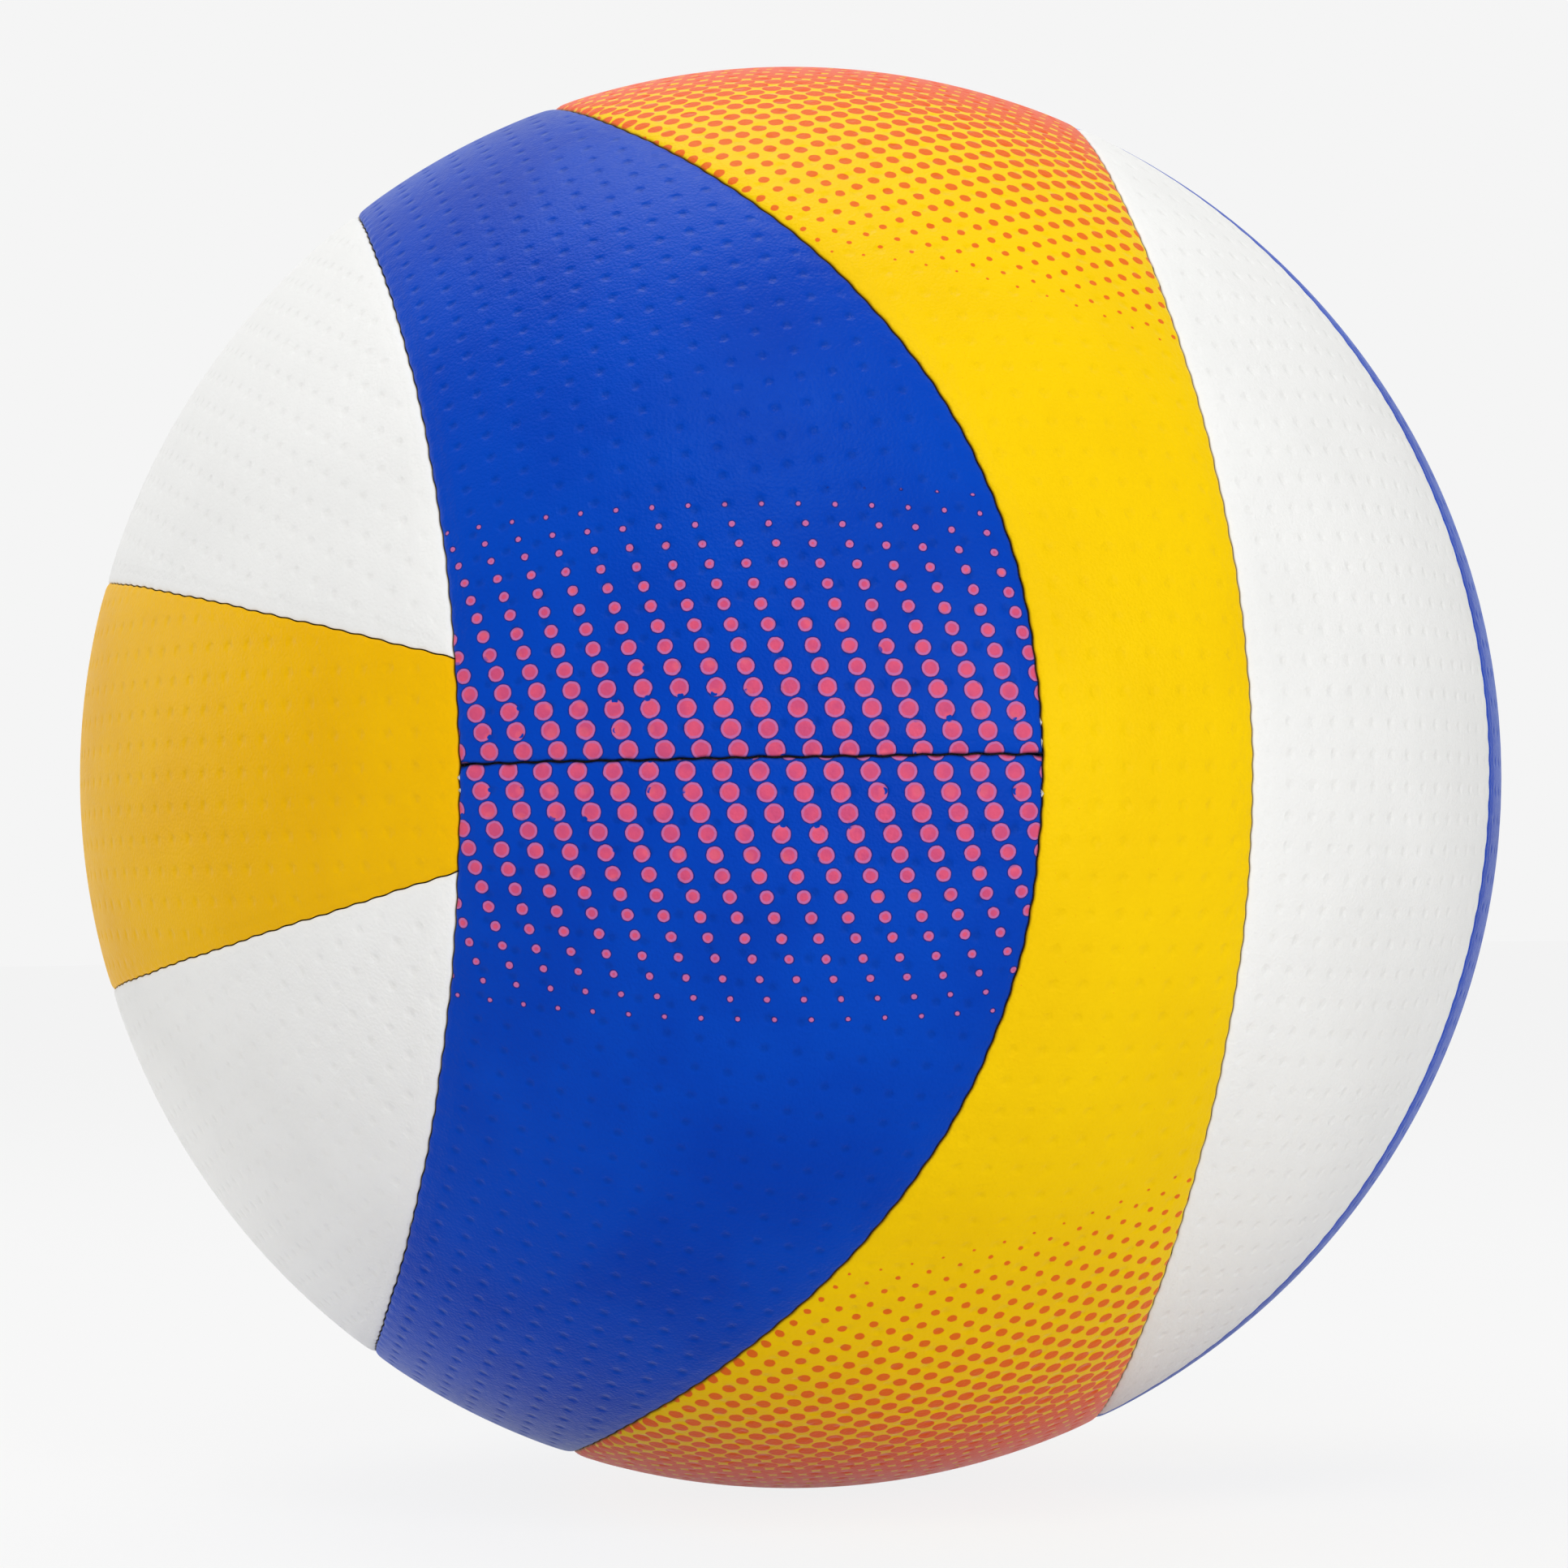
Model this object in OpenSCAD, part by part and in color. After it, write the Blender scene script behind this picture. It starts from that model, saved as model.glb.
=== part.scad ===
// Beach volleyball of ten stitched panels, in millimetres.
// The ball's centre is the origin and +Z is up. The two end caps face -X and +X, and -Y is the front.
// The right half is the left half turned half a turn about the line through the front and top quarters.

/* [Ball] */
// Diameter of the inflated ball, which is 670 round
ball_d = 213.3; // [203:0.1:220]

/* [Seam layout] */
// Swing of the wavy seam between the two halves, in degrees either side of the ball's equator
middle_swing = 18.5; // [15:0.5:22]
// Mean latitude of the oval seam round each end cap, in degrees
cap_latitude = 30.6; // [28:0.2:34]
// Swing of that oval seam either side of its mean, in degrees
cap_swing = 6.1; // [2:0.1:8]
// Width of a cap's middle strip across the cap's pole
strip_w = 61; // [50:1:68]
// Lean of the two long seams beside that strip, in degrees
strip_lean = 15.5; // [12:0.5:19]

/* [Cover] */
// Thickness of the foam-backed cover material
cover_t = 2.0; // [1.6:0.1:2.6]
// Width of the edge that is turned in under each panel
hem_w = 5; // [4:0.5:7]
// Thickness of the turned-in edge and of the cloth lining inside it
lining_t = 1.2; // [0.8:0.1:1.6]
// Width of the valley along a seam, where the panels roll inwards
valley_w = 3.4; // [2.6:0.1:4.4]
// Depth of the valley's shallow shoulders
shoulder_depth = 0.6; // [0.4:0.05:0.8]
// Width of the slot at the valley's bottom
slot_w = 0.9; // [0.7:0.05:1.2]
// Depth of that slot below the shoulders
slot_depth = 0.9; // [0.6:0.05:1]
// Thickness of the sewing thread
thread_d = 0.5; // [0.4:0.05:0.6]

/* [Bladder and valve] */
// Thickness of the rubber bladder
bladder_t = 0.5; // [0.3:0.1:0.9]
// Hole through the cover for the valve
valve_hole_d = 9.6; // [8:0.2:12]
// Reinforcing patch behind the cover at the valve
patch_d = 30; // [24:1:36]
// Flange that bonds the valve housing to the bladder
flange_d = 26; // [20:1:34]
// Depth of the valve housing below the flange
housing_depth = 11; // [9:0.5:14]
// Neck of the soft valve plug
plug_d = 5.2; // [4.6:0.1:5.8]
// Channel for the inflating needle
needle_d = 2.0; // [1.6:0.1:2.4]
// Depth of the needle channel below its countersunk mouth
needle_depth = 9; // [7:0.5:10]

/* [Hidden] */
$fn = 96;

// Clearances and small sizes
seam_gap = 0.2;          // between two panels at a seam
glue_film = 0.1;         // between the cover, its lining and the valve patch
bladder_gap = 0.2;       // between the lining and the bladder
valve_gap = 0.3;         // between the valve housing's neck and the holes that it passes
plug_gap = 0.1;          // between the plug and its housing
thread_gap = 0.03;       // between the thread and the sides of its valley
overrun = 1;             // by which a cutting shape passes what it cuts
valve_recess = 0.4;      // of the valve's face below the cover
housing_wall = 2.6;      // of the housing's barrel round the plug
flange_t = 1;
bulb_lip_w = 0.6;        // of the plug's bulb over its neck, on the radius
bulb_length = 2.6;
plug_tail = 2.4;         // solid rubber with a slit, below the needle channel
slit_w = 0.3;
mouth_flare_w = 0.6;     // of the channel's countersunk mouth, on the radius
mouth_depth = 0.8;

// Colours
sun_yellow = "#f6c60b";
deep_blue = "#1440b0";
chalk_white = "#f4f5f2";
cloth_grey = "#d9d7cf";
thread_white = "#e8e6dd";
rubber_black = "#262626";
rubber_tan = "#b98d5e";

// Radii of the layers, from outside in
ball_r = ball_d / 2;
cover_inner_r = ball_r - cover_t;
hem_inner_r = cover_inner_r - lining_t;
bladder_r = hem_inner_r - bladder_gap;
bladder_inner_r = bladder_r - bladder_t;

// Cutting shapes reach this far from the centre, well clear of the ball on every facet
reach = 2 * ball_r;
seam_steps = 60;         // facets round a closed seam
seam_step = 360 / seam_steps;
thread_sides = 4;
nudge = 0.5;             // degrees either side of a point, to find a seam's direction there
corner_error = 0.01;     // degrees
quarter = 90;            // degrees
pole_turn = [31, 17, 0]; // puts the spheres' own poles away from every seam

// Points on the ball

// The direction at a latitude from the YZ plane and an azimuth round X that starts at the front and rises
function direction(latitude, azimuth) = [
    sin(latitude), -cos(latitude) * cos(azimuth), cos(latitude) * sin(azimuth)];
function unit(v) = v / norm(v);

// The oval seam round the left cap, widest at the front and the rear
cap_seam = function(azimuth) direction(-(cap_latitude - cap_swing * cos(2 * azimuth)), azimuth);

// The middle seam is four arcs of equal circles, which meet on the equator halfway between front and top
arc_lean = atan((cos(middle_swing) - sqrt(1 / 2)) / sin(middle_swing));
arc_radius = middle_swing + arc_lean;
function arc_latitude(azimuth) =
    acos(cos(arc_radius) / norm([sin(arc_lean), cos(azimuth) * cos(arc_lean)]))
    - atan2(sin(arc_lean), cos(azimuth) * cos(arc_lean));
function middle_latitude(azimuth) =
    let (quarters = floor(azimuth / quarter + 1 / 2), from_arc = azimuth - quarters * quarter)
    arc_latitude(from_arc) * (quarters % 2 == 0 ? 1 : -1);
middle_seam = function(azimuth) direction(middle_latitude(azimuth), azimuth);

// The direction on the ball at right angles to a seam, to the right of the seam
function sideways(seam, azimuth) =
    unit(cross(seam(azimuth + nudge) - seam(azimuth - nudge), seam(azimuth)));
// The direction of the point a distance to the right of a seam
function beside(seam, azimuth, distance) =
    unit(ball_r * seam(azimuth) + distance * sideways(seam, azimuth));
// One station of a sweep along a seam: each profile point is [distance to the right, height over the ball]
function station(seam, azimuth, profile) =
    [for (p = profile) (ball_r + p[1]) * beside(seam, azimuth, p[0])];

// Bodies that the seams cut

module ball(r) {
    rotate(pole_turn) sphere(r = r);
}

module shell(outer_r, inner_r) {
    difference() {
        ball(outer_r);
        ball(inner_r);
    }
}

// Everything on the left of a seam, as a faceted cone from the centre, grown outwards by a distance
module left_of(seam, grown) {
    rim = [for (i = [0 : seam_steps - 1]) reach * beside(seam, i * seam_step, grown)];
    centre = seam_steps;
    pole = seam_steps + 1;
    faces = [for (i = [0 : seam_steps - 1])
        let (next = (i + 1) % seam_steps)
        each [[centre, i, next], [pole, next, i]]];
    polyhedron(concat(rim, [[0, 0, 0], [-reach, 0, 0]]), faces);
}

// A section swept all round the ball along a seam
module sweep(seam, profile) {
    sides = len(profile);
    points = [for (i = [0 : seam_steps - 1]) each station(seam, i * seam_step, profile)];
    walls = [for (i = [0 : seam_steps - 1], k = [0 : sides - 1])
        let (here = i * sides, next = (i + 1) % seam_steps * sides, other = (k + 1) % sides)
        each [[here + k, here + other, next + k], [here + other, next + other, next + k]]];
    polyhedron(points, walls);
}

// The half of space above a plane at a height over the centre
module above(height) {
    translate([-reach, -reach, height]) cube(2 * reach);
}

// The long seam of a cap is cut by one plane, which leans back from the pole
strip_rise = asin(strip_w / 2 / ball_r);
strip_height = ball_r * sin(strip_rise - strip_lean);
module flip(side) {
    mirror([0, 0, side < 0 ? 1 : 0]) children();
}
module lean(side) {
    flip(side) rotate([0, strip_lean, 0]) children();
}

// Pieces of the left half, cut from a shell and shrunk by a margin all round

module centre_piece(outer_r, inner_r, margin) {
    difference() {
        intersection() {
            shell(outer_r, inner_r);
            left_of(cap_seam, -margin);
        }
        for (side = [1, -1]) lean(side) above(strip_height - margin);
    }
}

module side_piece(outer_r, inner_r, margin, side) {
    intersection() {
        shell(outer_r, inner_r);
        left_of(cap_seam, -margin);
        lean(side) above(strip_height + margin);
    }
}

module ring_piece(outer_r, inner_r, margin, side) {
    difference() {
        intersection() {
            shell(outer_r, inner_r);
            left_of(middle_seam, -margin);
            flip(side) above(margin);
        }
        left_of(cap_seam, margin);
    }
}

// Seam valleys: a panel's shoulders slope down to the stitching

// Each shoulder's slope is carried on past the ball's surface
shoulder_slope = shoulder_depth / (valley_w / 2 - slot_w / 2);
valley_reach = valley_w / 2 + overrun / shoulder_slope;
valley_profile = [
    [-valley_reach, overrun],
    [-slot_w / 2, -shoulder_depth],
    [0, -shoulder_depth - slot_depth],
    [slot_w / 2, -shoulder_depth],
    [valley_reach, overrun]];

// The valley of a flat seam at a height over the centre, on the left of the ball unless it is to go all round
module flat_valley(height, all_round = false) {
    latitude = asin(height / ball_r);
    rotate(all_round ? 0 : quarter) rotate_extrude(angle = all_round ? 4 * quarter : 2 * quarter)
        rotate(latitude) polygon([for (p = valley_profile) [ball_r + p[1], p[0]]]);
}

panel_margin = seam_gap / 2;
recess_margin = panel_margin + hem_w;
lining_margin = recess_margin + glue_film;
lining_outer_r = cover_inner_r - glue_film;
recess_inner_r = hem_inner_r - overrun;

// Covers: each one is as thick as the foam inside, and thicker round its turned-in edge

module centre_panel() {
    difference() {
        centre_piece(ball_r, hem_inner_r, panel_margin);
        centre_piece(cover_inner_r, recess_inner_r, recess_margin);
        for (side = [1, -1]) lean(side) flat_valley(strip_height);
        sweep(cap_seam, valley_profile);
    }
}

module side_panel(side) {
    difference() {
        side_piece(ball_r, hem_inner_r, panel_margin, side);
        side_piece(cover_inner_r, recess_inner_r, recess_margin, side);
        lean(side) flat_valley(strip_height);
        sweep(cap_seam, valley_profile);
    }
}

module ring_panel(side) {
    difference() {
        ring_piece(ball_r, hem_inner_r, panel_margin, side);
        ring_piece(cover_inner_r, recess_inner_r, recess_margin, side);
        flat_valley(0, all_round = true);
        sweep(cap_seam, valley_profile);
        sweep(middle_seam, valley_profile);
    }
}

// Linings: double cloth inside each cover's turned-in edge

module centre_lining() {
    centre_piece(lining_outer_r, hem_inner_r, lining_margin);
}

module side_lining(side) {
    side_piece(lining_outer_r, hem_inner_r, lining_margin, side);
}

module ring_lining(side) {
    ring_piece(lining_outer_r, hem_inner_r, lining_margin, side);
}

// Threads

// The azimuth where the long seam above the strip runs into the cap's oval seam, found by halving
function corner(low, high) =
    let (middle = (low + high) / 2, p = ball_r * cap_seam(middle),
        over = p[0] * sin(strip_lean) + p[2] * cos(strip_lean) - strip_height)
    high - low < corner_error ? middle : over > 0 ? corner(low, middle) : corner(middle, high);
corner_azimuth = corner(0, quarter / 2);

// A thread lies in its slot, as low as it goes without touching either side
thread_rise = (thread_d / 2 + thread_gap) / sin(atan(slot_w / 2 / slot_depth));
thread_height = thread_rise - shoulder_depth - slot_depth;
thread_profile = [for (k = [0 : thread_sides - 1])
    let (turn = -k * 360 / thread_sides)
    thread_d / 2 * [cos(turn), sin(turn)] + [0, thread_height]];

// A thread along a flat seam at a height over the centre, between two angles round Z
module flat_thread(height, from, to) {
    latitude = asin(height / ball_r);
    rotate(from) rotate_extrude(angle = to - from)
        rotate(latitude) translate([ball_r + thread_height, 0]) circle(d = thread_d);
}

// A thread stops short of the seam that it runs into
thread_stop = (valley_w / 2) / ball_r * 180 / PI;

module long_thread(side) {
    p = cap_seam(corner_azimuth);
    across = p[0] * cos(strip_lean) - p[2] * sin(strip_lean);
    span = atan2(-p[1], -across) - thread_stop;
    lean(side) flat_thread(strip_height, 2 * quarter - span, 2 * quarter + span);
}

// The short seam where two ring panels meet, at the front or the rear of the left half
module short_thread(end) {
    mirror([0, end < 0 ? 1 : 0, 0]) flat_thread(0,
        thread_stop - quarter - (cap_latitude - cap_swing), middle_swing - thread_stop - quarter);
}

// Valve, on the +X axis

// A round bar along the valve's axis between two distances from the centre
module valve_bar(d, from, to) {
    rotate([0, quarter, 0]) translate([0, 0, from]) cylinder(d = d, h = to - from);
}

valve_face = ball_r - valve_recess;
neck_d = valve_hole_d - 2 * valve_gap;
flange_outer_r = bladder_inner_r - glue_film;
flange_inner_r = flange_outer_r - flange_t;
housing_end = flange_inner_r - housing_depth;
channel_end = valve_face - mouth_depth - needle_depth;
plug_end = channel_end - plug_tail;
bulb_d = plug_d + 2 * bulb_lip_w;
barrel_d = bulb_d + 2 * housing_wall;

// The plug's outline, with a bulb at its inner end that keeps it in its housing
module plug_body(gap, face) {
    valve_bar(plug_d + 2 * gap, plug_end - gap, face);
    valve_bar(bulb_d + 2 * gap, plug_end - gap, plug_end + bulb_length + gap);
}

// The right half is the left half turned about the line between the front and the top
module right_half() {
    rotate(2 * quarter, [0, -1, 1]) children();
}

// Ten covers

module left_centre_panel() {
    color(sun_yellow) centre_panel();
}

module left_upper_panel() {
    color(chalk_white) side_panel(1);
}

module left_lower_panel() {
    color(chalk_white) side_panel(-1);
}

module upper_ring_panel() {
    color(deep_blue) ring_panel(1);
}

module lower_ring_panel() {
    color(deep_blue) ring_panel(-1);
}

module right_centre_panel() {
    color(deep_blue) difference() {
        right_half() centre_panel();
        valve_bar(valve_hole_d, 0, reach);
    }
}

module right_front_panel() {
    color(chalk_white) right_half() side_panel(1);
}

module right_rear_panel() {
    color(chalk_white) right_half() side_panel(-1);
}

module front_ring_panel() {
    color(sun_yellow) right_half() ring_panel(1);
}

module rear_ring_panel() {
    color(sun_yellow) right_half() ring_panel(-1);
}

// Ten linings

module left_centre_lining() {
    color(cloth_grey) centre_lining();
}

module left_upper_lining() {
    color(cloth_grey) side_lining(1);
}

module left_lower_lining() {
    color(cloth_grey) side_lining(-1);
}

module upper_ring_lining() {
    color(cloth_grey) ring_lining(1);
}

module lower_ring_lining() {
    color(cloth_grey) ring_lining(-1);
}

module right_centre_lining() {
    color(cloth_grey) difference() {
        right_half() centre_lining();
        valve_bar(patch_d + 2 * glue_film, 0, reach);
    }
}

module right_front_lining() {
    color(cloth_grey) right_half() side_lining(1);
}

module right_rear_lining() {
    color(cloth_grey) right_half() side_lining(-1);
}

module front_ring_lining() {
    color(cloth_grey) right_half() ring_lining(1);
}

module rear_ring_lining() {
    color(cloth_grey) right_half() ring_lining(-1);
}

// Eleven seams' threads

module left_cap_thread() {
    color(thread_white) sweep(cap_seam, thread_profile);
}

module right_cap_thread() {
    color(thread_white) right_half() sweep(cap_seam, thread_profile);
}

module middle_thread() {
    color(thread_white) sweep(middle_seam, thread_profile);
}

module left_upper_thread() {
    color(thread_white) long_thread(1);
}

module left_lower_thread() {
    color(thread_white) long_thread(-1);
}

module right_front_thread() {
    color(thread_white) right_half() long_thread(1);
}

module right_rear_thread() {
    color(thread_white) right_half() long_thread(-1);
}

module front_ring_thread() {
    color(thread_white) short_thread(1);
}

module rear_ring_thread() {
    color(thread_white) short_thread(-1);
}

module top_ring_thread() {
    color(thread_white) right_half() short_thread(1);
}

module bottom_ring_thread() {
    color(thread_white) right_half() short_thread(-1);
}

// Bladder and valve

module bladder() {
    color(rubber_tan) difference() {
        shell(bladder_r, bladder_inner_r);
        valve_bar(valve_hole_d, 0, reach);
    }
}

module valve_housing() {
    color(rubber_black) difference() {
        union() {
            valve_bar(neck_d, flange_inner_r, valve_face);
            intersection() {
                shell(flange_outer_r, flange_inner_r);
                valve_bar(flange_d, 0, reach);
            }
            valve_bar(barrel_d, housing_end, flange_outer_r - flange_t / 2);
        }
        plug_body(plug_gap, valve_face + overrun);
        valve_bar(plug_d - 2 * bulb_lip_w, 0, plug_end);
    }
}

module valve_plug() {
    color(rubber_black) difference() {
        plug_body(0, valve_face);
        valve_bar(needle_d, channel_end, valve_face + overrun);
        rotate([0, quarter, 0]) {
            translate([0, 0, valve_face - mouth_depth])
                cylinder(r1 = needle_d / 2, r2 = needle_d / 2 + mouth_flare_w, h = mouth_depth);
            translate([-slit_w / 2, -needle_d / 2, plug_end - overrun])
                cube([slit_w, needle_d, plug_tail + 2 * overrun]);
        }
    }
}

module valve_patch() {
    color(cloth_grey) difference() {
        intersection() {
            shell(lining_outer_r, hem_inner_r);
            valve_bar(patch_d, 0, reach);
        }
        valve_bar(valve_hole_d, 0, reach);
    }
}

left_centre_panel();
left_upper_panel();
left_lower_panel();
upper_ring_panel();
lower_ring_panel();
right_centre_panel();
right_front_panel();
right_rear_panel();
front_ring_panel();
rear_ring_panel();
left_centre_lining();
left_upper_lining();
left_lower_lining();
upper_ring_lining();
lower_ring_lining();
right_centre_lining();
right_front_lining();
right_rear_lining();
front_ring_lining();
rear_ring_lining();
left_cap_thread();
right_cap_thread();
middle_thread();
left_upper_thread();
left_lower_thread();
right_front_thread();
right_rear_thread();
front_ring_thread();
rear_ring_thread();
top_ring_thread();
bottom_ring_thread();
bladder();
valve_housing();
valve_plug();
valve_patch();
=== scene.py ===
import math

import bpy
import numpy as np
from mathutils import Matrix, Vector


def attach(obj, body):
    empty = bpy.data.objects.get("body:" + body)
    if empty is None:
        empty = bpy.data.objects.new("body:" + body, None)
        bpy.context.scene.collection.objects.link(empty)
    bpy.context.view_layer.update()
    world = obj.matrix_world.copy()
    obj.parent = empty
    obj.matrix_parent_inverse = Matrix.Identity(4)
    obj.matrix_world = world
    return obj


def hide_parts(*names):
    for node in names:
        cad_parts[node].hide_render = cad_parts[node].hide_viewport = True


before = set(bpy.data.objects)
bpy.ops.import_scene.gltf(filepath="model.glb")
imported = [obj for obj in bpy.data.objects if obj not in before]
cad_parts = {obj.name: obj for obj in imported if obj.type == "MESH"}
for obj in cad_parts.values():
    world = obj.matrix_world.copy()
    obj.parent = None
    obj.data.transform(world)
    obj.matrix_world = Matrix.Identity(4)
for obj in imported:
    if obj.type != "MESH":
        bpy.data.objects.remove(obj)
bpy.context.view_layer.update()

# The ball's sizes, in millimetres, and the lie of its seams, in radians

BALL_R = 213.3 / 2
MM = 0.001  # metres in a millimetre
QUARTER = math.pi / 2
HALF = math.pi

# The oval seam round a cap, and the winding seam between the halves, which is a large wave and a small one
CAP_LATITUDE = math.radians(30.4)
CAP_SWING = math.radians(6.25)
MIDDLE_SWING = math.radians(19.77)
MIDDLE_TRIM = math.radians(0.87)

# The strip across a cap: its width at the pole, and how far the planes of its edges lean
STRIP_W = 61.0
STRIP_LEAN = math.radians(15.5)
STRIP_RISE = math.asin(STRIP_W / 2 / BALL_R) - STRIP_LEAN

# How far a cover's edge stops from the middle of its seam, above and below its lip, and its walls' depths
EDGE_GAP = 0.10
UNDER_GAP = 0.36
LIP_DEPTH = 0.86
LIP_TURN = 0.93 * LIP_DEPTH
UNDER_DEPTH = 0.98
COVER_T = 1.92
LEAST_LIP = 0.05
SMOOTH_WALLS = 2  # the walls that roll down over the lip
VALVE_HOLE_R = 9.6 / 2

# Places beside a seam at which a cover has a row of points, from its edge inwards
EDGE_ROWS = np.array([0.0, 0.04, 0.12, 0.25, 0.44, 0.70, 1.02, 1.42])

# Between those rows: the rough length and width that a cover's points are counted by, and their spacing
RING_SPAN = (300, 58)
CENTRE_SPAN = (226, 56)
SIDE_SPAN = (205, 54)
RING_STEP = 0.52
CAP_STEP = 0.47
RING_CROSS_STEP = 0.82  # of the step along it
UNDER_STRIDE = 8  # squares of the face over one of the underside

# Stitches beside a seam, how far they draw it to one side, and the steps of this that a full turn has.
# The winding seam's counts leave 2 when divided by 4, so its steps still meet once the right half is turned.
STITCH = 3.4
WAVER = 0.11
WAVER_SHARES = (0.7, 0.3, 0.4)
CAP_STEPS = (170, 62, 22)
MIDDLE_STEPS = (198, 74, 26)
RING_STEPS, RING_START = (185, 68, 24), 0.3
STRIP_STEPS, STRIP_START = (190, 70, 25), 0.2

# Width and depth of the roll down to a seam: each seam of a ring cover, each of a cap's covers, and the valve
RING_CAP_ROLL, MIDDLE_ROLL, SHORT_ROLL = (1.3, 0.60), (1.8, 0.68), (2.0, 0.68)
CAP_ROLL, STRIP_ROLL = (1.4, 0.62), (1.1, 0.50)
VALVE_ROLL = (1.6, 0.62)
ROLL_CURVE = 2.3
PILLOW_SHARE, PILLOW_W = 0.16, 2.4
PUCKER_DEPTH, PUCKER_PLACE, PUCKER_W = 0.075, 0.75, 0.55

# Radii that the stitches are counted at along the oval and the winding seam
CAP_RUN_R = 92
MIDDLE_RUN_R = 105

# The dimples moulded in the film, and where they stop and fade beside a seam
DIMPLE_PITCH = 4.45
DIMPLE_DEPTH = 0.085
DIMPLE_W = 0.95
DIMPLE_CLEAR = 1.6
DIMPLE_FADE = 1.2
ROW_LEAN = 0.235
SIDE_LEAN = math.radians(33)

# The printed dots of a mirrored ring cover are not quite the mirror image, and other points lie off the print
MIRRORED_PRINT = np.array([-1.79, 0.08])
OFF_PRINT = 500.0

# The block of squares that the valve's opening takes from its cover: half its side, the cover's half length
# that this is a share of, and how many blocks out the squares are still drawn round
VALVE_BLOCK = 4.5
CENTRE_REACH = 109
BENT_BLOCKS = 2.8

# An angle past any cap's edge, the halvings that find a place between two, and the side cover's two corners
PAST_CAP = 1.25
HALVINGS = 40
SIDE_CORNERS = (math.radians(44), math.radians(136))


def direction(latitude, azimuth):
    """A place on the ball: latitude towards +X, azimuth from the front over the top."""
    return np.stack([
        np.sin(latitude),
        -np.cos(latitude) * np.cos(azimuth),
        np.cos(latitude) * np.sin(azimuth)], -1)


def waver(turn, counts):
    """The small sideways steps that the stitches give a seam."""
    return WAVER / BALL_R * sum(share * np.cos(count * turn) for share, count in zip(WAVER_SHARES, counts))


def ring_waver(latitude):
    return waver(latitude + RING_START, RING_STEPS)


def cap_seam(azimuth):
    """Latitude of the oval seam round the left cap."""
    return -(CAP_LATITUDE - CAP_SWING * np.cos(2 * azimuth)) + waver(azimuth, CAP_STEPS)


def middle_seam(azimuth):
    """Latitude of the seam that winds between the two halves."""
    wave = MIDDLE_SWING * np.cos(2 * azimuth) - MIDDLE_TRIM * np.cos(6 * azimuth)
    return wave + waver(azimuth, MIDDLE_STEPS)


def slant(seam, latitude, azimuth):
    """How much a seam's slope shortens the way to it."""
    step = 1e-4
    slope = (seam(azimuth + step) - seam(azimuth - step)) / (2 * step) / np.cos(latitude)
    return 1 / np.sqrt(1 + slope ** 2)


def seam_away(seam, points):
    """Distance of places on the ball from a winding seam, in millimetres."""
    latitude = np.arcsin(np.clip(points[..., 0], -1, 1))
    azimuth = np.arctan2(points[..., 2], -points[..., 1])
    return BALL_R * np.abs(latitude - seam(azimuth)) * slant(seam, latitude, azimuth)


def strip_normal(side):
    """Square to the plane that the strip's upper (1) or lower (-1) edge is cut by."""
    return np.array([math.sin(STRIP_LEAN), 0, side * math.cos(STRIP_LEAN)])


def strip_waver(points):
    return waver(np.arctan2(points[..., 1], -points[..., 0]) + STRIP_START, STRIP_STEPS)


def strip_away(side, points):
    """Distance from a seam beside the cap's middle strip, below zero inside the strip."""
    return BALL_R * (np.arcsin(points @ strip_normal(side)) - STRIP_RISE - strip_waver(points))


def ring_away(points, way):
    """Distance from the short seams at the front and the rear."""
    wave = way * ring_waver(np.arcsin(points[..., 0]))
    return BALL_R * np.abs(np.arcsin(points[..., 2]) - wave)


def settle(test, low, high):
    """The place between low and high, for each point, at which test turns from below zero to above."""
    low, high = np.array(low, float), np.array(high, float)
    for _ in range(HALVINGS):
        middle = (low + high) / 2
        below = test(middle) < 0
        low = np.where(below, middle, low)
        high = np.where(below, high, middle)
    return (low + high) / 2


# The covers' outlines: each is a grid of places on the ball, gap away from its seams, with points about a
# step apart. Only the ring covers' depends on way, which is -1 for a cover that will be mirrored

def rows(length, step):
    """Shares of a way across a cover: close together beside the seams, even between them."""
    count = max(4, round((length - 2 * EDGE_ROWS[-1]) / step))
    middle = np.linspace(EDGE_ROWS[-1], length - EDGE_ROWS[-1], count + 1)
    return np.concatenate([EDGE_ROWS[:-1], middle, length - EDGE_ROWS[:-1][::-1]]) / length


def gapped(seam, azimuth, gap, way):
    """A winding seam's latitude, moved gap millimetres to one side."""
    latitude = seam(azimuth)
    return latitude + way * gap / BALL_R / slant(seam, latitude, azimuth)


def ring_cover(gap, step, way):
    """The upper of the two covers between the left cap and the winding seam."""
    along = rows(RING_SPAN[0], step)[:, None]
    across = rows(RING_SPAN[1], step * RING_CROSS_STEP)[None, :]
    azimuth = along * HALF + 0 * across
    for _ in range(3):
        low = gapped(cap_seam, azimuth, gap, 1)
        high = gapped(middle_seam, azimuth, gap, -1)
        latitude = low + (high - low) * across
        wave = way * ring_waver(latitude)
        inset = gap / BALL_R / np.cos(latitude)
        first, last = inset + wave, HALF - inset - wave
        azimuth = first + (last - first) * along
    return direction(latitude, azimuth)


def strip_place(along, across):
    """A place on the ball from two angles at the left pole: along the strip to the rear, and up across it."""
    return np.stack([
        -np.cos(along) * np.cos(across),
        np.sin(along),
        np.cos(along) * np.sin(across)], -1)


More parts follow.
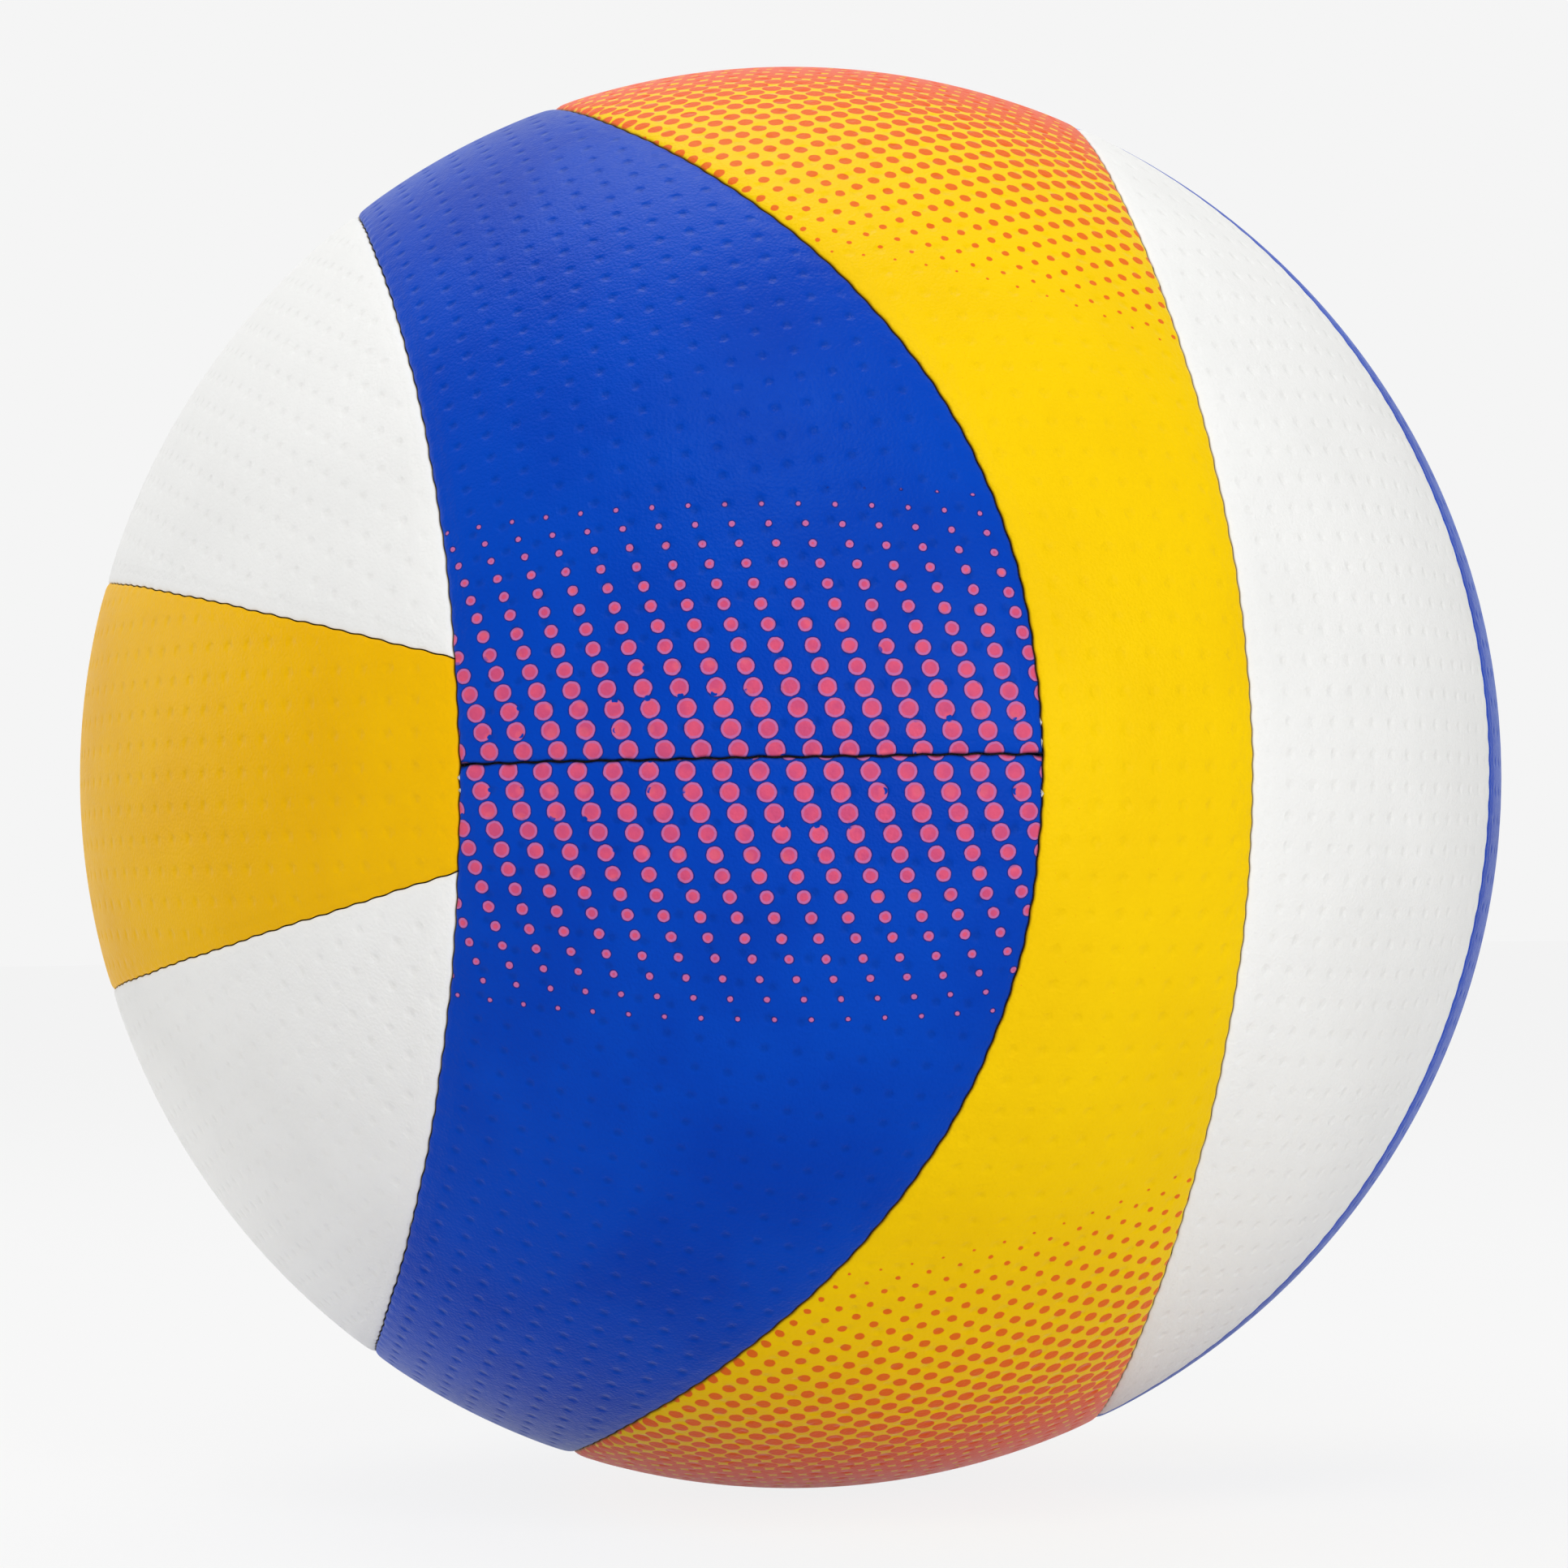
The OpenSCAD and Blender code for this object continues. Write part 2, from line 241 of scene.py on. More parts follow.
def strip_edge(along, gap, side):
    """Angle of the strip's edge over its middle, at an angle along it."""
    edge = STRIP_LEAN + np.arcsin(np.clip((STRIP_RISE - gap / BALL_R) / np.cos(along), -1, 1))
    for _ in range(2):
        wave = strip_waver(strip_place(along, side * edge))
        edge = STRIP_LEAN + np.arcsin(
            np.clip(np.sin(STRIP_RISE + wave - gap / BALL_R) / np.cos(along), -1, 1))
    return edge


def in_cap(points, gap):
    """Below zero inside the left cap, gap millimetres from its seam."""
    latitude = np.arcsin(np.clip(points[..., 0], -1, 1))
    azimuth = np.arctan2(points[..., 2], -points[..., 1])
    return latitude - gapped(cap_seam, azimuth, gap, -1)


def centre_rows(step):
    return rows(CENTRE_SPAN[0], step) * 2 - 1, rows(CENTRE_SPAN[1], step) * 2 - 1


def centre_cover(gap, step, way=1, opening=False):
    """The strip across the middle of the left cap, with or without the valve's opening."""
    us, vs = centre_rows(step)
    along, across = us[:, None], vs[None, :]
    share = across + 0 * along

    def angle(place):
        return np.where(share > 0, strip_edge(place, gap, 1), strip_edge(place, gap, -1)) * share

    start = np.zeros_like(share)
    far = settle(lambda a: in_cap(strip_place(a, angle(a)), gap), start, start + PAST_CAP)
    near = settle(lambda a: in_cap(strip_place(-a, angle(-a)), gap), start, start + PAST_CAP)
    place = np.where(along > 0, far * along, near * along)
    rise = angle(place)
    if opening:
        # the squares round the opening's block are drawn in to circles
        first, last, low, high = opening_block(step)
        ring = np.maximum(np.abs(along) / us[last], np.abs(across) / vs[high])
        radius = np.hypot(place, rise)
        drawn = np.clip((BENT_BLOCKS - ring) / (BENT_BLOCKS - 1), 0, 1)
        drawn = drawn ** 2 * (3 - 2 * drawn)
        wanted = (1 - drawn) * radius + drawn * VALVE_HOLE_R / BALL_R * np.maximum(ring, 0.02)
        scale = np.where(ring < BENT_BLOCKS, wanted / np.maximum(radius, 1e-9), 1.0)
        place, rise = place * scale, rise * scale
    return strip_place(place, rise)


def opening_block(step):
    """First and last rows of the block of squares left out for the valve."""
    us, vs = centre_rows(step)
    first = int(np.argmin(np.abs(us + VALVE_BLOCK / CENTRE_REACH)))
    low = int(np.argmin(np.abs(vs + VALVE_BLOCK / (STRIP_W / 2))))
    return first, len(us) - 1 - first, low, len(vs) - 1 - low


def valve_cover(gap, step, way=1):
    """The same strip with the valve's opening in it."""
    return centre_cover(gap, step, way, True)


def side_cover(gap, step, way=1):
    """The cover over the strip, from the strip's seam to the cap's oval seam."""
    def over_strip(azimuth):
        latitude = gapped(cap_seam, azimuth, gap, -1)
        return strip_away(1, direction(latitude, azimuth)) - gap

    front = settle(over_strip, 0.0, QUARTER)
    rear = HALF - settle(lambda a: over_strip(HALF - a), 0.0, QUARTER)
    middle = np.array([-math.cos(SIDE_LEAN), 0, math.sin(SIDE_LEAN)])
    upward = np.array([math.sin(SIDE_LEAN), 0, math.cos(SIDE_LEAN)])
    rearward = np.array([0.0, 1.0, 0.0])

    def flat(points):
        """The ball laid flat round the cover's middle, true along each ray from it."""
        far = np.arccos(np.clip(points @ middle, -1, 1))
        turn = np.arctan2(points @ upward, points @ rearward)
        return np.stack([far * np.cos(turn), far * np.sin(turn)], -1)

    def back(places):
        far = np.linalg.norm(places, axis=-1, keepdims=True)
        ray = places / np.maximum(far, 1e-12)
        return np.sin(far) * (ray[..., :1] * rearward + ray[..., 1:] * upward) + np.cos(far) * middle

    def oval(first, last, shares):
        azimuth = first + (last - first) * shares
        return flat(direction(gapped(cap_seam, azimuth, gap, -1), azimuth))

    u, v = rows(SIDE_SPAN[0], step), rows(SIDE_SPAN[1], step)
    ends = [direction(gapped(cap_seam, a, gap, -1), a) for a in (front, rear)]
    turns = [math.asin(float(p[1])) for p in ends]
    along = turns[0] + (turns[1] - turns[0]) * u
    bottom = flat(strip_place(along, strip_edge(along, -gap, 1)))
    top = oval(*SIDE_CORNERS, u)
    left = oval(front, SIDE_CORNERS[0], v)
    right = oval(rear, SIDE_CORNERS[1], v)
    bottom[0], bottom[-1] = left[0], right[0]
    # the four sides blended into a grid, less the corners that both pairs of sides bring
    u, v = u[:, None, None], v[None, :, None]
    places = (
        (1 - v) * bottom[:, None] + v * top[:, None] + (1 - u) * left[None] + u * right[None]
        - (1 - u) * (1 - v) * bottom[0] - u * (1 - v) * bottom[-1]
        - (1 - u) * v * top[0] - u * v * top[-1])
    return back(places)


# The covers' form

def roll(away, width, depth):
    """How far a cover's edge rolls down beside its seam."""
    share = np.clip((width - away) / width, 0, 0.995)
    pillow = PILLOW_SHARE * depth * np.exp(-(away / PILLOW_W) ** 2)
    return depth * (1 - np.sqrt(1 - share ** ROLL_CURVE)) + pillow


def pucker(away, place):
    """Small hollows drawn in beside the seam by its stitches."""
    beat = 0.5 + 0.5 * np.cos(2 * math.pi * place / STITCH)
    return PUCKER_DEPTH * beat ** 2 * np.exp(-((away - PUCKER_PLACE) / PUCKER_W) ** 2)


def dimples(places):
    """Shallow moulded dimples in square rows."""
    off = places - np.round(places / DIMPLE_PITCH) * DIMPLE_PITCH
    away = np.hypot(off[..., 0], off[..., 1])
    return DIMPLE_DEPTH * np.exp(-(away / DIMPLE_W) ** 2)


def ring_rows(points):
    """A place among a ring cover's rows of dimples, which lean with the cover's winding."""
    latitude = np.arcsin(points[..., 0])
    azimuth = np.abs(np.arctan2(points[..., 2], -points[..., 1]))
    across, along = latitude * BALL_R, azimuth * BALL_R
    return np.stack([
        across + ROW_LEAN * BALL_R * np.sin(azimuth) ** 2,
        along - ROW_LEAN * np.sin(2 * azimuth) * across], -1)


def ring_places(points):
    """Millimetres across a ring cover, and along it from the nearer of its two short seams."""
    latitude = np.arcsin(points[..., 0])
    azimuth = np.abs(np.arctan2(points[..., 2], -points[..., 1]))
    return np.stack([latitude * BALL_R, np.minimum(azimuth, HALF - azimuth) * BALL_R], -1)


def cap_places(points, lean):
    """Millimetres along and across a cap's cover that faces up by lean."""
    c, s = math.cos(lean), math.sin(lean)
    x = points[..., 0] * c - points[..., 2] * s
    z = points[..., 0] * s + points[..., 2] * c
    return np.stack([np.arctan2(points[..., 1], -x) * BALL_R, np.arcsin(np.clip(z, -1, 1)) * BALL_R], -1)


def right_half(points):
    """The right half is the left half turned about the line between the front and the top."""
    return np.stack([-points[..., 0], -points[..., 2], -points[..., 1]], -1)


def upside_down(points):
    """The lower of two covers is the upper one mirrored."""
    return points * np.array([1, 1, -1])


def valve_away(points):
    """Distance from the rim of the valve's opening, in millimetres."""
    return BALL_R * np.arctan2(np.hypot(points[..., 1], points[..., 2]), -points[..., 0]) - VALVE_HOLE_R


def seams_round(top, kind, way, opening):
    """For each seam of a cover: the way to it, the way along it that its stitches count on, and its roll."""
    azimuth = np.arctan2(top[..., 2], -top[..., 1])
    seams = [(seam_away(cap_seam, top), azimuth * CAP_RUN_R, RING_CAP_ROLL if kind == "ring" else CAP_ROLL)]
    if kind == "ring":
        seams.append((seam_away(middle_seam, top), azimuth * MIDDLE_RUN_R, MIDDLE_ROLL))
        seams.append((ring_away(top, way), np.arcsin(top[..., 0]) * BALL_R, SHORT_ROLL))
    else:
        strip_run = np.arctan2(top[..., 1], -top[..., 0]) * BALL_R
        for side in (1, -1) if kind == "centre" else (1,):
            seams.append((np.abs(strip_away(side, top)), strip_run, STRIP_ROLL))
    if opening:
        # its rim is held halfway between two stitches, so it has no puckers
        seams.append((valve_away(top), np.full(top.shape[:2], STITCH / 2), VALVE_ROLL))
    return seams


def sunk_face(seams, dimpled):
    """How far a cover's face lies under the ball's round, and how clear of the seams it is, for dimples."""
    sunk = sum(roll(away, width, depth) ** 3 for away, run, (width, depth) in seams) ** (1 / 3)
    sunk = sunk + sum(pucker(away, run) for away, run, _ in seams)
    nearest = np.min([away for away, _, _ in seams], axis=0)
    clear = np.clip((nearest - DIMPLE_CLEAR) / DIMPLE_FADE, 0, 1)
    sunk = sunk + dimples(dimpled) * clear
    return np.minimum(sunk, LIP_DEPTH - LEAST_LIP), clear


class Form:
    """The points and faces of a cover while it is built."""

    def __init__(self):
        self.points, self.faces, self.smooth = [], [], []
        self.count = 0

    def add_points(self, points):
        """Take in some points, and say which numbers they have."""
        self.points.append(points)
        self.count += len(points)
        return np.arange(self.count - len(points), self.count)

    def add_faces(self, faces, smooth):
        self.faces += faces
        self.smooth += [smooth] * len(faces)


def face_squares(index, block):
    """The squares of a cover's face, without those of the valve's block."""
    squares = np.stack([index[:-1, :-1], index[1:, :-1], index[1:, 1:], index[:-1, 1:]], -1)
    keep = np.ones(squares.shape[:2], bool)
    if block:
        keep[block[0]:block[1], block[2]:block[3]] = False
    return squares[keep]


def rim_loops(index, block):
    """The points round a cover's edge, and round the valve's block."""
    loops = [np.concatenate([index[:-1, 0], index[-1, :-1], index[:0:-1, -1], index[0, :0:-1]])]
    if block:
        i0, i1, j0, j1 = block
        loops.append(np.concatenate([
            index[i0, j0:j1], index[i0:i1, j1], index[i1, j1:j0:-1], index[i1:i0:-1, j0]]))
    return loops


def hang_wall(form, loop, levels):
    """The wall under a loop of the face, down through its levels; gives the lowest point under each point."""
    upper = loop
    for level, (base, depth) in enumerate(levels):
        lower = form.add_points(base[loop] * (BALL_R - depth))
        around = np.stack([upper, np.roll(upper, -1), np.roll(lower, -1), lower], -1)[:, ::-1]
        form.add_faces(around.tolist(), level < SMOOTH_WALLS)
        upper = lower
    return dict(zip(loop.tolist(), lower.tolist()))


def lay_underside(form, index, block, low, flat_under):
    """The flat underside, coarse inside and joined to each lowest point of the walls."""
    us, vs = (set(range(0, count - UNDER_STRIDE // 2, UNDER_STRIDE)) for count in index.shape)
    if block:
        us, vs = us | set(block[:2]), vs | set(block[2:])
    us, vs = sorted(us | {index.shape[0] - 1}), sorted(vs | {index.shape[1] - 1})

    def in_block(i, j):
        return block and block[0] < i < block[1] and block[2] < j < block[3]

    for i in us[1:-1]:
        for j in vs[1:-1]:
            place = int(index[i, j])
            if place not in low and not in_block(i, j):
                low[place] = int(form.add_points(flat_under[place][None] * (BALL_R - COVER_T))[0])
    for a0, a1 in zip(us[:-1], us[1:]):
        for b0, b1 in zip(vs[:-1], vs[1:]):
            if in_block((a0 + a1) / 2, (b0 + b1) / 2):
                continue
            sides = [index[a0:a1, b0], index[a1, b0:b1], index[a1:a0:-1, b1], index[a0, b1:b0:-1]]
            walk = [low[place] for place in np.concatenate(sides).tolist() if place in low]
            form.add_faces([walk[::-1]], False)


def signed_volume(points, squares):
    """Above zero where the squares of a cover's face look outwards."""
    a, b, c = (points[squares[:, k]] for k in (0, 1, 2))
    return float(np.einsum("ij,ij->i", a, np.cross(b, c)).sum())


def form_mesh(name, points, form, carried):
    """The form as a mesh, with what each of its points carries for the finish."""
    # points of the valve's block belong to no face, so they go
    used = np.unique(np.concatenate([np.asarray(face) for face in form.faces]))
    fresh = np.full(len(points), -1)
    fresh[used] = np.arange(len(used))
    mesh = bpy.data.meshes.new(name)
    mesh.from_pydata(points[used].tolist(), [], [fresh[face].tolist() for face in form.faces])
    mesh.update()
    for label, held in carried.items():
        layer = mesh.attributes.new(label, "FLOAT_VECTOR", "POINT")
        layer.data.foreach_set("vector", held[used].astype(np.float32).ravel())
    mesh.polygons.foreach_set("use_smooth", form.smooth)
    return mesh


def cover(name, outline, kind, finish, mirrored=False, right=False):
    """One cover as a closed piece: rolled edges, dimples, a lip and a flat underside."""
    step = RING_STEP if kind == "ring" else CAP_STEP
    way = -1 if mirrored else 1
    top = outline(EDGE_GAP, step, way)
    under = outline(UNDER_GAP, step, way)
    block = opening_block(step) if outline is valve_cover else ()
    if kind == "ring":
        places, dimpled = ring_places(top), ring_rows(top)
    else:
        places = dimpled = cap_places(top, 0.0 if kind == "centre" else SIDE_LEAN)
    sunk, clear = sunk_face(seams_round(top, kind, way, bool(block)), dimpled)
    if mirrored:
        top, under = upside_down(top), upside_down(under)
        places = places * np.array([1, -1]) + (MIRRORED_PRINT if kind == "ring" else 0)
    if right:
        top, under = right_half(top), right_half(under)

    form = Form()
    index = form.add_points((top * (BALL_R - sunk)[..., None]).reshape(-1, 3)).reshape(top.shape[:2])
    squares = face_squares(index, block)
    form.add_faces(squares.tolist(), True)
    flat_top, flat_under, places = top.reshape(-1, 3), under.reshape(-1, 3), places.reshape(-1, 2)
    levels = [(flat_top, LIP_TURN), (flat_top, LIP_DEPTH), (flat_under, UNDER_DEPTH), (flat_under, COVER_T)]
    low, printed = {}, [places]
    for loop in rim_loops(index, block):
        low.update(hang_wall(form, loop, levels))
        printed += [places[loop]] * len(levels)
    lay_underside(form, index, block, low, flat_under)

    # what each point carries for its finish: its place in the print and its depth, which sets the painted
    # shade down in a seam, and its place among the dimples and how clear of the seams it is
    points = np.concatenate(form.points) * MM
    printed = np.concatenate(printed)
    print_place = np.full((len(points), 3), OFF_PRINT)
    print_place[:len(printed), :2] = printed
    print_place[:, 2] = BALL_R - np.linalg.norm(points, axis=1) / MM
    dimple_place = np.zeros((len(points), 3))
    dimple_place[:index.size, :2] = dimpled.reshape(-1, 2)
    dimple_place[:index.size, 2] = clear.ravel()

    mesh = form_mesh(name, points, form, {"print_place": print_place, "dimple_place": dimple_place})
    if signed_volume(points, squares) < 0:
        mesh.flip_normals()
    mesh.materials.append(finish)
    piece = bpy.data.objects.new(name, mesh)
    bpy.context.scene.collection.objects.link(piece)
    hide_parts(name.replace("_cover", "_panel"))
    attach(piece, "root")


# Finishes

# The pink dots, in millimetres: the steps from one to the next across and along a cover, a dot's place, the
# greatest radius, and the radius at the short seam and farther off with the loss of each per millimetre
PINK_ACROSS, PINK_ALONG, PINK_START = (4.9, -0.09), (-0.932, 2.81), (-1.03, 0.98)
PINK_LARGEST = 1.30
PINK_NEAR, PINK_NEAR_LOSS = 1.60, 0.0383
PINK_FAR, PINK_FAR_LOSS = 0.66, 0.0108
PINK_END = 36.6  # from the short seam

# The orange dots: their pitch, the turn of their rows and a dot's place, where their field starts and how its
# edge slants, and how a dot grows from there and again where the dots merge
ORANGE_PITCH, ORANGE_TURN, ORANGE_START = 3.07, math.radians(39.4), (-20.7, 68.3)
ORANGE_END, ORANGE_SLANT = 91.5, 0.115
ORANGE_GROWTH = 0.195
ORANGE_MERGED, ORANGE_MERGED_GROWTH = 35.0, 0.006

# Marks of the film, in cells to a metre, and the depths of its grain and of a dimple's bowl, in metres
GRAIN, CREASES, PORES, CLOUDS = 2100, 1500, 3400, 38
GRAIN_DEPTH = 0.00022
BOWL_DEPTH = 0.00013
SHEEN_ROUGHNESS = 0.22


class Finish:
    """A material and the nodes that make it."""

    def __init__(self, name):
        self.material = bpy.data.materials.new(name)
        self.material.use_nodes = True
        self.tree = self.material.node_tree
        self.tree.nodes.clear()
        self.surface = self.tree.nodes.new("ShaderNodeBsdfPrincipled")
        self.out = self.tree.nodes.new("ShaderNodeOutputMaterial")
        self.tree.links.new(self.surface.outputs[0], self.out.inputs["Surface"])
        self.count = 0

    def add(self, kind, **settings):
        made = self.tree.nodes.new(kind)
        self.count += 1
        made.location = (-220 * (1 + self.count % 9), -180 * (self.count // 9))
        for key, value in settings.items():
            setattr(made, key, value)
        return made

    def give(self, socket, value):
        if hasattr(value, "is_output"):
            self.tree.links.new(value, socket)
        else:
            socket.default_value = value

    def sum(self, what, *values):
        made = self.add("ShaderNodeMath", operation=what)
        for socket, value in zip(made.inputs, values):
            self.give(socket, value)
        return made.outputs[0]

    def ramp(self, value, low, high, start=0.0, end=1.0, easing="SMOOTHSTEP"):
        made = self.add("ShaderNodeMapRange", interpolation_type=easing)
        for socket, number in zip(made.inputs, (value, low, high, start, end)):
            self.give(socket, number)
        return made.outputs[0]

    def blend(self, share, first, second):
        made = self.add("ShaderNodeMix", data_type="RGBA")
        self.give(made.inputs[0], share)
        self.give(made.inputs[6], first)
        self.give(made.inputs[7], second)
        return made.outputs[2]

    def place(self):
        return self.add("ShaderNodeTexCoord").outputs["Object"]

    def noise(self, scale, detail=3.0, roughness=0.5):
        made = self.add("ShaderNodeTexNoise")
        self.give(made.inputs["Vector"], self.place())
        made.inputs["Scale"].default_value = scale
        made.inputs["Detail"].default_value = detail
        made.inputs["Roughness"].default_value = roughness
        return made.outputs["Fac"]

    def cells(self, scale, feature="F1", smooth=None):
        made = self.add("ShaderNodeTexVoronoi", feature=feature)
        self.give(made.inputs["Vector"], self.place())
        made.inputs["Scale"].default_value = scale
        if smooth is not None:
            made.inputs["Smoothness"].default_value = smooth
        return made.outputs["Distance"]

    def bump(self, height, strength, distance, under=None):
        made = self.add("ShaderNodeBump")
        self.give(made.inputs["Height"], height)
        made.inputs["Strength"].default_value = strength
        made.inputs["Distance"].default_value = distance
        if under is not None:
            self.give(made.inputs["Normal"], under)
        return made.outputs[0]

    def measured(self, name):
        """The three numbers that a cover carries under a name, in millimetres."""
        held = self.add("ShaderNodeAttribute", attribute_type="GEOMETRY", attribute_name=name)
        parts = self.add("ShaderNodeSeparateXYZ")
        self.give(parts.inputs[0], held.outputs["Vector"])
        return parts.outputs[0], parts.outputs[1], parts.outputs[2]

    def dot_away(self, across, along, first, second, origin):
        """Distance from the middle of the nearest printed dot."""
        area = first[0] * second[1] - first[1] * second[0]
        x = self.sum("SUBTRACT", across, origin[0])
        y = self.sum("SUBTRACT", along, origin[1])

        def mixed(a, share_a, b, share_b):
            return self.sum("ADD", self.sum("MULTIPLY", a, share_a), self.sum("MULTIPLY", b, share_b))

        i = mixed(x, second[1] / area, y, -second[0] / area)
        j = mixed(x, -first[1] / area, y, first[0] / area)
        i = self.sum("SUBTRACT", i, self.sum("ROUND", i))
        j = self.sum("SUBTRACT", j, self.sum("ROUND", j))
        x, y = mixed(i, first[0], j, second[0]), mixed(i, first[1], j, second[1])
        return self.sum("SQRT", mixed(x, x, y, y))


def colour(red, green, blue):
    """A colour written as on a screen, 0 to 255."""
    def light(c):
        c /= 255
        return c / 12.92 if c <= 0.04045 else ((c + 0.055) / 1.055) ** 2.4
    return (light(red), light(green), light(blue), 1.0)


def cover_finish(
        name, face, shade, seam, inks=None, roughness=0.42, shine=0.06, haze=0.0, painted_pit_shade=0.02,
        tint=(1, 1, 1, 1)):
    """Soft moulded cover film: fine leather grain, small dimples, a little shine, painted shade down in the
    seams.

    face and shade are its clouded colours, seam the colour of the painted shade down in a seam and in the
    dimples, and inks prints the dots on it.
    haze lightens its limb, tint colours the haze and the shine, and painted_pit_shade is the share of painted
    shade in the dimples.
    """
    f = Finish(name)
    across, along, deep = f.measured("print_place")
    row, line, clear = f.measured("dimple_place")
    pit = f.dot_away(row, line, (DIMPLE_PITCH, 0.0), (0.0, DIMPLE_PITCH), (0.0, 0.0))
    cloud = f.noise(CLOUDS, 3, 0.55)
    base = f.blend(f.ramp(cloud, 0.35, 0.7), face, shade)
    if inks:
        base = inks(f, base, across, along, pit)
    # painted shade: a share of the seam colour darkens the hollows of the dimples, most on the blue
    painted_pit_mask = f.sum("MULTIPLY", f.ramp(pit, 0.25, 0.85, 1.0, 0.0), clear)
    base = f.blend(f.sum("MULTIPLY", painted_pit_mask, painted_pit_shade), base, seam)
    # painted shade: from about 0.33 to 0.6 mm under the ball's round, down the roll into a seam, the colour
    # turns to the dark seam colour
    base = f.blend(f.ramp(deep, 0.33, 0.60), base, seam)
    f.give(f.surface.inputs["Base Color"], base)
    grain = f.cells(GRAIN, "SMOOTH_F1", smooth=0.6)
    creases = f.noise(CREASES, 4, 0.62)
    pores = f.cells(PORES)
    height = f.sum("ADD", f.sum("MULTIPLY", grain, 0.9), f.sum("MULTIPLY", creases, 0.7))
    height = f.sum("ADD", height, f.sum("MULTIPLY", pores, 0.25))
    dished = f.bump(f.sum("MULTIPLY", f.ramp(pit, 0.10, 1.10), clear), 1.0, BOWL_DEPTH)
    f.give(f.surface.inputs["Normal"], f.bump(height, 0.30, GRAIN_DEPTH, dished))
    rough = f.ramp(f.noise(900, 3, 0.6), 0.3, 0.75, roughness - 0.05, roughness + 0.07, "LINEAR")
    f.give(f.surface.inputs["Roughness"], rough)
    f.surface.inputs["Specular IOR Level"].default_value = shine
    f.surface.inputs["Sheen Weight"].default_value = haze
    f.surface.inputs["Sheen Roughness"].default_value = SHEEN_ROUGHNESS
    f.surface.inputs["Sheen Tint"].default_value = tint
    f.surface.inputs["Specular Tint"].default_value = tint
    return f.material


def pink_dots(f, base, across, along, pit):
    """Round dots in leaning columns that shrink away from the short seams; the ink misses some dimples."""
    away = f.dot_away(across, along, PINK_ACROSS, PINK_ALONG, PINK_START)
    along = f.sum("ABSOLUTE", along)
    size = f.sum("SUBTRACT", PINK_NEAR, f.sum("MULTIPLY", along, PINK_NEAR_LOSS))
    size = f.sum("MAXIMUM", size, f.sum("SUBTRACT", PINK_FAR, f.sum("MULTIPLY", along, PINK_FAR_LOSS)))
    size = f.sum("MINIMUM", size, PINK_LARGEST)
    wobble = f.sum("MULTIPLY", f.sum("SUBTRACT", f.noise(1300, 2, 0.5), 0.5), 0.22)
    edge = f.sum("ADD", f.sum("SUBTRACT", away, size), wobble)
    edge = f.sum("ADD", edge, f.ramp(along, PINK_END, PINK_END + 1))

    # the ink, its lavender rim and a dark ring round them; a painted highlight makes it lighter in a dimple,
    # and it misses some of them
    ring = f.blend(f.ramp(edge, 0.05, 0.27, 0.85, 0.0), base, colour(26, 14, 92))
    rim = f.blend(f.ramp(edge, -0.04, 0.08, 1.0, 0.0), ring, colour(196, 108, 168))
    cloud = f.ramp(f.noise(420, 2, 0.5), 0.3, 0.7)
    ink = f.blend(cloud, colour(226, 88, 122), colour(208, 80, 124))
    inked = f.blend(f.ramp(edge, -0.40, -0.20, 1.0, 0.0), rim, ink)
    # painted highlight: a light pink spot in each dimple within a dot
    light = f.sum("MULTIPLY", f.ramp(pit, 0.3, 1.0, 0.55, 0.0), f.ramp(edge, -0.3, -0.15, 1.0, 0.0))
    light = f.blend(light, inked, colour(255, 112, 136))
    missed = f.sum("MULTIPLY", f.ramp(pit, 0.40, 0.50, 1.0, 0.0), f.ramp(edge, -0.44, -0.34))
    missed = f.sum("MULTIPLY", missed, f.ramp(f.noise(150, 1, 0.5), 0.49, 0.53))
    missed = f.sum("MULTIPLY", missed, f.ramp(size, 0.95, 1.1))
    return f.blend(missed, light, base)


def orange_dots(f, base, across, along, pit):
    """A slanting field of dots that grow until they meet at the short seams."""
    along = f.sum("ABSOLUTE", along)
    right, up = ORANGE_PITCH * math.cos(ORANGE_TURN), ORANGE_PITCH * math.sin(ORANGE_TURN)
    away = f.dot_away(across, along, (-right, -up), (-up, right), ORANGE_START)
    reach = f.sum("SUBTRACT", f.sum("MULTIPLY", across, -ORANGE_SLANT), f.sum("SUBTRACT", along, ORANGE_END))
    size = f.sum("MULTIPLY", f.sum("SQRT", f.sum("MAXIMUM", reach, 0.0)), ORANGE_GROWTH)
    merged = f.sum("MAXIMUM", f.sum("SUBTRACT", reach, ORANGE_MERGED), 0.0)
    size = f.sum("ADD", size, f.sum("MULTIPLY", merged, ORANGE_MERGED_GROWTH))
    wobble = f.sum("MULTIPLY", f.sum("SUBTRACT", f.noise(1300, 2, 0.5), 0.5), 0.3)
    edge = f.sum("ADD", f.sum("SUBTRACT", away, size), wobble)
    ink = f.blend(f.ramp(along, 5, 80), colour(250, 84, 36), colour(238, 112, 26))
    return f.blend(f.ramp(edge, -0.12, 0.08, 1.0, 0.0), base, ink)


